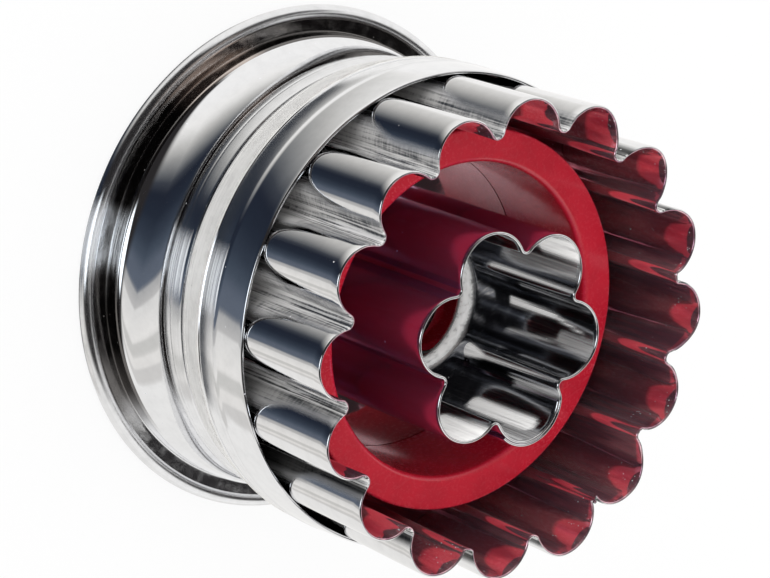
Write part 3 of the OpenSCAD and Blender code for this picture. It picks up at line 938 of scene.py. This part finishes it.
def strip_steel(name, tint, hollow, full):
    """Rolled strip with draw marks along the cutter's axis.

    Its outer side has painted reflection streaks, with scuff marks, where it lies nearer to the axis than the
    radius called hollow, and is clean beyond the radius called full. Its inner side is hazy, with a painted
    reflection of the red ring and specks near the cutting edge.
    """
    sh = Shader(bpy.data.materials.new(name))
    place = sh.place()
    height = sh.add("SeparateXYZ", {0: place}).outputs[2]
    radius = sh.from_axis(place)
    outward = sh.outward(place)
    lean = sh.vector("DOT_PRODUCT", sh.add("NewGeometry").outputs["Normal"], outward)
    outer = sh.ramp(lean, -0.15, 0.15)
    inner = sh.minus(1.0, outer)
    # The painted reflection pattern covers the outer side nearer the axis, and reaches further out near the
    # rear, by the collar
    shallow = sh.ramp(height, 30 * MM, 25.5 * MM, 0.0, 0.6 * MM)
    recess = sh.times(outer, sh.ramp(sh.minus(radius, shallow), full, hollow))
    lines = sh.noise(place, (4200, 4200, 90), 4, 0.65)
    scuffs = sh.noise(place, (900, 900, 420), 5, 0.7)
    across = sh.noise(place, (500, 500, 4200), 3, 0.6)
    haze = sh.noise(place, 700, 4, 0.6)

    clumps = sh.ramp(sh.noise(place, 260, 3, 0.6), 0.5, 0.66)
    edge_side = sh.times(inner, sh.ramp(height, 28 * MM, 34 * MM))
    fine = sh.times(sh.dust(place, 2800, 0.38, 0.26), sh.times(clumps, edge_side))
    mask = sh.math("MAXIMUM", sh.dust(place, 1500, 0.03, 0.16), fine)

    marks = sh.plus(sh.plus(sh.times(lines, 0.6), sh.times(scuffs, 0.3)), sh.times(across, 0.2))
    # Painted light: the pattern is paler near the rear
    marks = sh.plus(marks, sh.ramp(height, 28 * MM, 25.5 * MM, 0.0, 0.08))
    # Painted reflection in the flute valleys: dark and pale streaks, with scuff marks
    wear_and_painted_light = sh.mix(sh.ramp(marks, 0.44, 0.68), (0.050, 0.056, 0.066), (0.66, 0.65, 0.64))
    # Painted shade: darker except on the side facing 20 degrees round the axis
    painted_lit_side = sh.facing(outward, 20, 0.26, 0.66, 0.10, 1.0)
    wear_and_painted_light = sh.mix(1.0, wear_and_painted_light, sh.mix(painted_lit_side, (0, 0, 0), (1, 1, 1)), "MULTIPLY")
    # Painted glint along the bottom of each valley
    ridge = sh.times(sh.ramp(radius, hollow - 0.2 * MM, hollow - 0.5 * MM), sh.ramp(lines, 0.4, 0.6))
    wear_and_painted_light = sh.mix(ridge, wear_and_painted_light, (0.92, 0.91, 0.90))

    # Painted reflection of the red ring on the inner side
    painted_red_smear = sh.ramp(sh.noise(place, (420, 420, 75), 3, 0.6), 0.38, 0.64)
    shade = sh.mix(sh.ramp(haze, 0.3, 0.8), tint, shaded(tint, 0.93))
    shade = sh.mix(sh.times(inner, 0.95), shade, sh.mix(painted_red_smear, (0.44, 0.22, 0.30), (0.95, 0.62, 0.68)))
    shade = sh.mix(recess, shade, wear_and_painted_light)
    dull = sh.math("MAXIMUM", sh.plus(sh.times(recess, 0.7), sh.times(inner, 0.11)), sh.times(mask, 0.8))
    rough = sh.plus(sh.ramp(haze, 0.35, 0.75, 0.04, 0.10), sh.times(recess, 0.14))
    bump = sh.bump(sh.noise(place, (330, 330, 18), 2, 0.4), 0.02 * MM)
    bump = sh.bump(sh.times(sh.noise(place, (520, 520, 170), 2, 0.5), inner), 0.035 * MM, 1.0, bump)
    return sh.surface(
        Base_Color=sh.mix(mask, shade, bpy.context.scene.cutter_colours.dust),
        Metallic=sh.minus(1.0, dull, True),
        Roughness=sh.plus(rough, sh.ramp(lines, 0.55, 0.8, 0.0, 0.08)),
        Normal=sh.bump(lines, 0.002 * MM, 0.35, bump))


def plastic(name, tint):
    """Glossy moulded plastic with a little mottling, fine scratches and a soft sheen."""
    sh = Shader(bpy.data.materials.new(name))
    place = sh.place()
    mottle = sh.noise(place, 260, 3, 0.55)
    grain = sh.noise(place, 2600, 3, 0.6)
    marks = sh.noise(place, (2400, 260, 900), 3, 0.6)
    rough = sh.plus(sh.ramp(grain, 0.3, 0.7, 0.20, 0.30), sh.ramp(marks, 0.6, 0.75, 0.0, 0.12))
    bump = sh.bump(grain, 0.01 * MM, 0.14)
    return sh.surface(
        Base_Color=sh.mix(sh.ramp(mottle, 0.3, 0.75), tint, shaded(tint, 0.86)),
        Roughness=rough,
        Normal=sh.bump(mottle, 0.02 * MM, 0.3, bump),
        IOR=1.5,
        Coat_Weight=0.4,
        Coat_Roughness=0.08)


def finish(name):
    """The finished material of that name, made the first time it is asked for."""
    c = bpy.context.scene.cutter_colours
    formed = (110, 110, 60)
    drawn_round = (260, 260, 9000)
    rolled_flat = (3000, 900, 3000)
    makers = {
        "mirror_steel": lambda: steel(name, c.steel, 0.045, 0.008 * MM, formed, drawn_round, 0.03),
        "turned_steel": lambda: turned_steel(name, c.steel, 0.16),
        "shoulder_steel": lambda: turned_steel(name, c.steel, 0.13),
        "flange_steel": lambda: steel(name, c.steel, 0.14, 0.010 * MM, formed, drawn_round, 0.05, painted_flange_shade),
        "satin_steel": lambda: satin_steel(name, c.satin),
        "flute_steel": lambda: strip_steel(name, c.strip, 21.8 * MM, 22.8 * MM),
        "flower_steel": lambda: steel(
            name, c.strip, 0.03, 0.012 * MM, (260, 260, 9), (5200, 5200, 90), 0.03, painted_cup_light),
        "cup_steel": lambda: steel(
            name, c.steel, 0.05, 0.006 * MM, (200, 200, 200), rolled_flat, 0.03, painted_cup_light),
        # The web plate's pinkish colour is a painted reflection of the red ring
        "plate_steel": lambda: steel(name, c.sheet, 0.07, 0.006 * MM, (150, 150, 150), rolled_flat, 0.02),
        "wire_steel": lambda: steel(name, c.wire, 0.30, 0.004 * MM, (500, 500, 500), (2500, 2500, 2500), 0.0),
        "red_moulding": lambda: plastic(name, c.red),
    }
    return bpy.data.materials.get(name) or makers[name]()


# Studio

def camera_axes(st):
    """Right, up and backward directions of the camera."""
    backward = Vector((math.cos(st.elevation) * math.cos(st.azimuth),
                       math.cos(st.elevation) * math.sin(st.azimuth), math.sin(st.elevation)))
    plain_right = Vector((-math.sin(st.azimuth), math.cos(st.azimuth), 0))
    plain_up = backward.cross(plain_right)
    up = plain_up * math.cos(st.roll) + plain_right * math.sin(st.roll)
    right = up.cross(backward)
    return right, up, backward


def make_camera(st):
    """The camera, at the photograph's viewing angle."""
    right, up, backward = camera_axes(st)
    data = bpy.data.cameras.new("photo_camera")
    data.sensor_fit = "HORIZONTAL"
    data.sensor_width = 36
    data.lens = st.lens
    data.clip_start = 0.01
    data.clip_end = 10
    camera = bpy.data.objects.new("photo_camera", data)
    bpy.context.scene.collection.objects.link(camera)
    place = Matrix((right, up, backward)).transposed().to_4x4()
    place.translation = Vector(st.aim) + backward * st.distance
    camera.matrix_world = place
    bpy.context.scene.camera = camera


# Tones of the studio's wall at angles in degrees round the camera's line of sight: white, a soft edge into
# the navy side, then grey and pale panels
WALL_MIDDLE = 150
WALL = (
    (100, (1.0, 0.99, 0.975)), (112, (0.96, 0.945, 0.92)), (118, (0.82, 0.81, 0.785)),
    (124, (0.57, 0.56, 0.54)), (130, (0.34, 0.34, 0.333)), (136, (0.15, 0.156, 0.165)),
    (140, (0.05, 0.057, 0.072)),
    (145, (0.017, 0.022, 0.036)), (154, (0.020, 0.027, 0.043)), (163, (0.038, 0.050, 0.073)),
    (170, (0.066, 0.085, 0.116)), (176, (0.115, 0.137, 0.178)), (183.5, (0.125, 0.148, 0.19)),
    (184.5, (0.44, 0.44, 0.44)), (191, (0.56, 0.55, 0.54)), (192, (0.78, 0.77, 0.75)),
    (206, (0.90, 0.88, 0.85)), (207, (0.66, 0.65, 0.625)), (213, (0.66, 0.65, 0.625)),
    (214, (0.85, 0.83, 0.80)), (219, (0.85, 0.83, 0.80)), (220, (0.69, 0.675, 0.655)),
    (227, (0.69, 0.675, 0.655)), (228, (0.91, 0.90, 0.88)), (262, (0.91, 0.90, 0.88)),
    (290, (1.0, 0.99, 0.975)))


def make_world(st):
    """A white studio with a navy side, which polished steel mirrors, and even light for everything else.

    Directions are given as seen by the camera: around is the angle round its line of sight, from its
    right-hand side towards its top, and away is the angle from straight ahead, both in degrees.
    """
    right, up, backward = camera_axes(st)
    world = bpy.data.worlds.new("studio")
    bpy.context.scene.world = world
    sh = Shader(world)
    way = sh.add("TexCoord").outputs["Generated"]

    def lean(around, away):
        """Cosine of the angle between a mirrored direction and the given one."""
        a, b = math.radians(around), math.radians(away)
        toward = right * math.cos(a) * math.sin(b) + up * math.sin(a) * math.sin(b) - backward * math.cos(b)
        return sh.vector("DOT_PRODUCT", way, toward)

    def side(around, height):
        """A hump of so many degrees on one side, which falls to 0 at right angles to it."""
        return sh.times(sh.math("MAXIMUM", lean(around, 90), 0.0), height)

    turn = sh.math("ARCTAN2", lean(WALL_MIDDLE + 90, 90), lean(WALL_MIDDLE, 90))
    around = sh.times(turn, 180 / math.pi)
    away = sh.times(sh.math("ARCCOSINE", lean(0, 0)), 180 / math.pi)

    slant = sh.ramp(away, 46.0, 96.0, -20.4, 9.6, "LINEAR")
    wall = sh.add("ValToRGB", {0: sh.plus(sh.math("DIVIDE", sh.minus(around, slant), 360.0), 0.5)})
    points = wall.color_ramp.elements
    while len(points) < len(WALL):
        points.new(0.5)
    for point, (where, tone) in zip(points, WALL):
        point.position = (where - WALL_MIDDLE) / 360 + 0.5
        point.color = (*tone, 1.0)

    backdrop = sh.mix(sh.ramp(sh.vector("DOT_PRODUCT", way, up), 0.05, -0.30), st.white, st.table)
    backdrop_edge = sh.ramp(around, -32.0, 20.0, 42.0, 58.0, "LINEAR")
    shade = sh.mix(sh.ramp(sh.minus(away, backdrop_edge), 0.0, -4.0), wall.outputs[0], backdrop)

    aside = sh.minus(around, 7.0)
    outer_edge = sh.plus(away, sh.times(sh.times(aside, aside), 0.01))
    navy_arch = sh.times(sh.ramp(away, 29.0, 36.0), sh.ramp(outer_edge, 74.0, 70.0))
    navy_arch = sh.times(navy_arch, sh.ramp(sh.math("ABSOLUTE", aside), 51.0, 44.0))
    shade = sh.mix(navy_arch, shade, (0.032, 0.038, 0.050))

    bulge = sh.plus(side(115, 6.0), side(5, 18.0))
    shade = sh.mix(sh.ramp(sh.plus(away, bulge), 121.0, 133.0), shade, st.dark_side)

    # Round spots: angle round, angle away, half angles at which the tone is full and ends, tone
    spots = ((60, 108, 12, 25, st.white), (340, 101, 12, 22, st.dark_side), (20, 112, 9, 17, st.dark_side),
             (8, 128, 6, 13, (0.36, 0.31, 0.28)), (320, 146, 5, 12, (0.50, 0.49, 0.48)),
             (204, 152, 6, 20, shaded(st.lamp, 3)))
    for spot_around, spot_away, full, end, tone in spots:
        near = lean(spot_around, spot_away)
        share = sh.ramp(near, math.cos(math.radians(end)), math.cos(math.radians(full)))
        shade = sh.mix(share, shade, tone)

    lit = sh.add("Background", {0: shade, 1: 1.0})
    even = sh.add("Background", {0: (1, 1, 1), 1: 1.05})
    paper = sh.add("Background", {0: (1, 1, 1), 1: 1.0})
    rays = sh.add("LightPath").outputs
    mirrored = sh.math("MAXIMUM", rays["Is Glossy Ray"], rays["Is Transmission Ray"])
    unseen = sh.blend(mirrored, even, lit)
    sh.output("World", sh.blend(rays["Is Camera Ray"], unseen, paper))
    world.cycles.sampling_method = "NONE"


def make_floor(st):
    """A pale floor that keeps the cutter's shadow and lets the steel mirror the studio behind it."""
    mesh = bpy.data.meshes.new("studio_floor")
    half = st.floor_half
    corners = [(-half, -half, 0), (half, -half, 0), (half, half, 0), (-half, half, 0)]
    mesh.from_pydata(corners, [], [(0, 1, 2, 3)])
    sh = Shader(bpy.data.materials.new("pale_paper"))
    fibre = sh.noise(sh.place(), 900, 4, 0.6)
    paper = sh.add("BsdfDiffuse", {0: sh.mix(fibre, st.floor_colour, shaded(st.floor_colour, 0.985))})
    glow = sh.add("Emission", {0: (1, 1, 1), 1: 1.0})
    clear = sh.add("BsdfTransparent")
    rays = sh.add("LightPath").outputs
    lit = sh.blend(sh.times(rays["Is Camera Ray"], 0.86), paper, glow)
    sh.output("Material", sh.blend(rays["Is Glossy Ray"], lit, clear))
    mesh.materials.append(sh.owner)
    floor = bpy.data.objects.new("studio_floor", mesh)
    bpy.context.scene.collection.objects.link(floor)


def make_lamp(st):
    """One broad lamp above, for soft shading."""
    data = bpy.data.lights.new("soft_lamp", "AREA")
    data.shape = "DISK"
    data.size = 0.6
    data.energy = 2.0
    lamp = bpy.data.objects.new("soft_lamp", data)
    bpy.context.scene.collection.objects.link(lamp)
    right, up, backward = camera_axes(st)
    toward = (backward * 0.6 + up * 0.6 - right * 0.2).normalized()
    lamp.matrix_world = Matrix.Translation(toward * 0.7) @ toward.to_track_quat("Z", "Y").to_matrix().to_4x4()
    lamp.visible_glossy = False


# Operators

def give_material(node, material):
    """A node of the packed model keeps its shape and gets a better finish."""
    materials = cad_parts[node].data.materials
    if not materials:
        materials.append(material)
    for index in range(len(materials)):
        materials[index] = material


class CUTTER_OT_shell(bpy.types.Operator):
    """Make the handle shell with its rolled rim"""

    bl_idname = "cutter.shell"
    bl_label = "Handle shell"

    def execute(self, context):
        make_shell(context.scene.cutter_shell)
        return {"FINISHED"}


class CUTTER_OT_collar(bpy.types.Operator):
    """Make the collar on the front of the shell"""

    bl_idname = "cutter.collar"
    bl_label = "Collar"

    def execute(self, context):
        make_collar(context.scene.cutter_shell)
        return {"FINISHED"}


class CUTTER_OT_strips(bpy.types.Operator):
    """Make the fluted strip and the flower strip"""

    bl_idname = "cutter.strips"
    bl_label = "Cutter strips"

    def execute(self, context):
        make_fluted_strip(context.scene.cutter_strips)
        make_flower_strip(context.scene.cutter_strips)
        return {"FINISHED"}


class CUTTER_OT_plates(bpy.types.Operator):
    """Make the cup's floor and finish the web plate"""

    bl_idname = "cutter.plates"
    bl_label = "Cup floor and web plate"

    def execute(self, context):
        make_flower_base(context.scene.cutter_strips)
        give_material("web_plate", finish("plate_steel"))
        return {"FINISHED"}


class CUTTER_OT_ejector(bpy.types.Operator):
    """Finish the ejector ring and the thumb button"""

    bl_idname = "cutter.ejector"
    bl_label = "Ejector ring and button"

    def execute(self, context):
        give_material("ejector_ring", finish("red_moulding"))
        give_material("push_button", finish("red_moulding"))
        return {"FINISHED"}


class CUTTER_OT_spring(bpy.types.Operator):
    """Make the return spring"""

    bl_idname = "cutter.spring"
    bl_label = "Return spring"

    def execute(self, context):
        make_spring(context.scene.cutter_spring)
        return {"FINISHED"}


class CUTTER_OT_studio(bpy.types.Operator):
    """Set up the camera, the floor and the light"""

    bl_idname = "cutter.studio"
    bl_label = "Studio"

    def execute(self, context):
        st = context.scene.cutter_stage
        make_camera(st)
        make_world(st)
        make_floor(st)
        make_lamp(st)
        context.scene.view_settings.view_transform = "Standard"
        return {"FINISHED"}


OPERATORS = (CUTTER_OT_shell, CUTTER_OT_collar, CUTTER_OT_strips, CUTTER_OT_plates, CUTTER_OT_ejector,
             CUTTER_OT_spring, CUTTER_OT_studio)


class CUTTER_PT_sidebar(bpy.types.Panel):
    """Sizes, colours and steps of the cutter"""

    bl_idname = "CUTTER_PT_sidebar"
    bl_label = "Linzer cutter"
    bl_space_type = "VIEW_3D"
    bl_region_type = "UI"
    bl_category = "Cutter"

    def draw(self, context):
        for operator in OPERATORS:
            self.layout.operator(operator.bl_idname)
        for group, kind in GROUPS.items():
            box = self.layout.box()
            box.label(text=kind.__doc__)
            for name in kind.__annotations__:
                box.prop(getattr(context.scene, group), name)


def register():
    for kind in (*GROUPS.values(), *OPERATORS, CUTTER_PT_sidebar):
        bpy.utils.register_class(kind)
    for group, kind in GROUPS.items():
        setattr(bpy.types.Scene, group, bpy.props.PointerProperty(type=kind))


def unregister():
    for group in GROUPS:
        delattr(bpy.types.Scene, group)
    for kind in (CUTTER_PT_sidebar, *reversed(OPERATORS), *reversed(GROUPS.values())):
        bpy.utils.unregister_class(kind)


def main():
    register()
    bpy.ops.cutter.shell()
    bpy.ops.cutter.collar()
    bpy.ops.cutter.strips()
    bpy.ops.cutter.plates()
    bpy.ops.cutter.ejector()
    bpy.ops.cutter.spring()
    bpy.ops.cutter.studio()


if __name__ == "__main__":
    main()
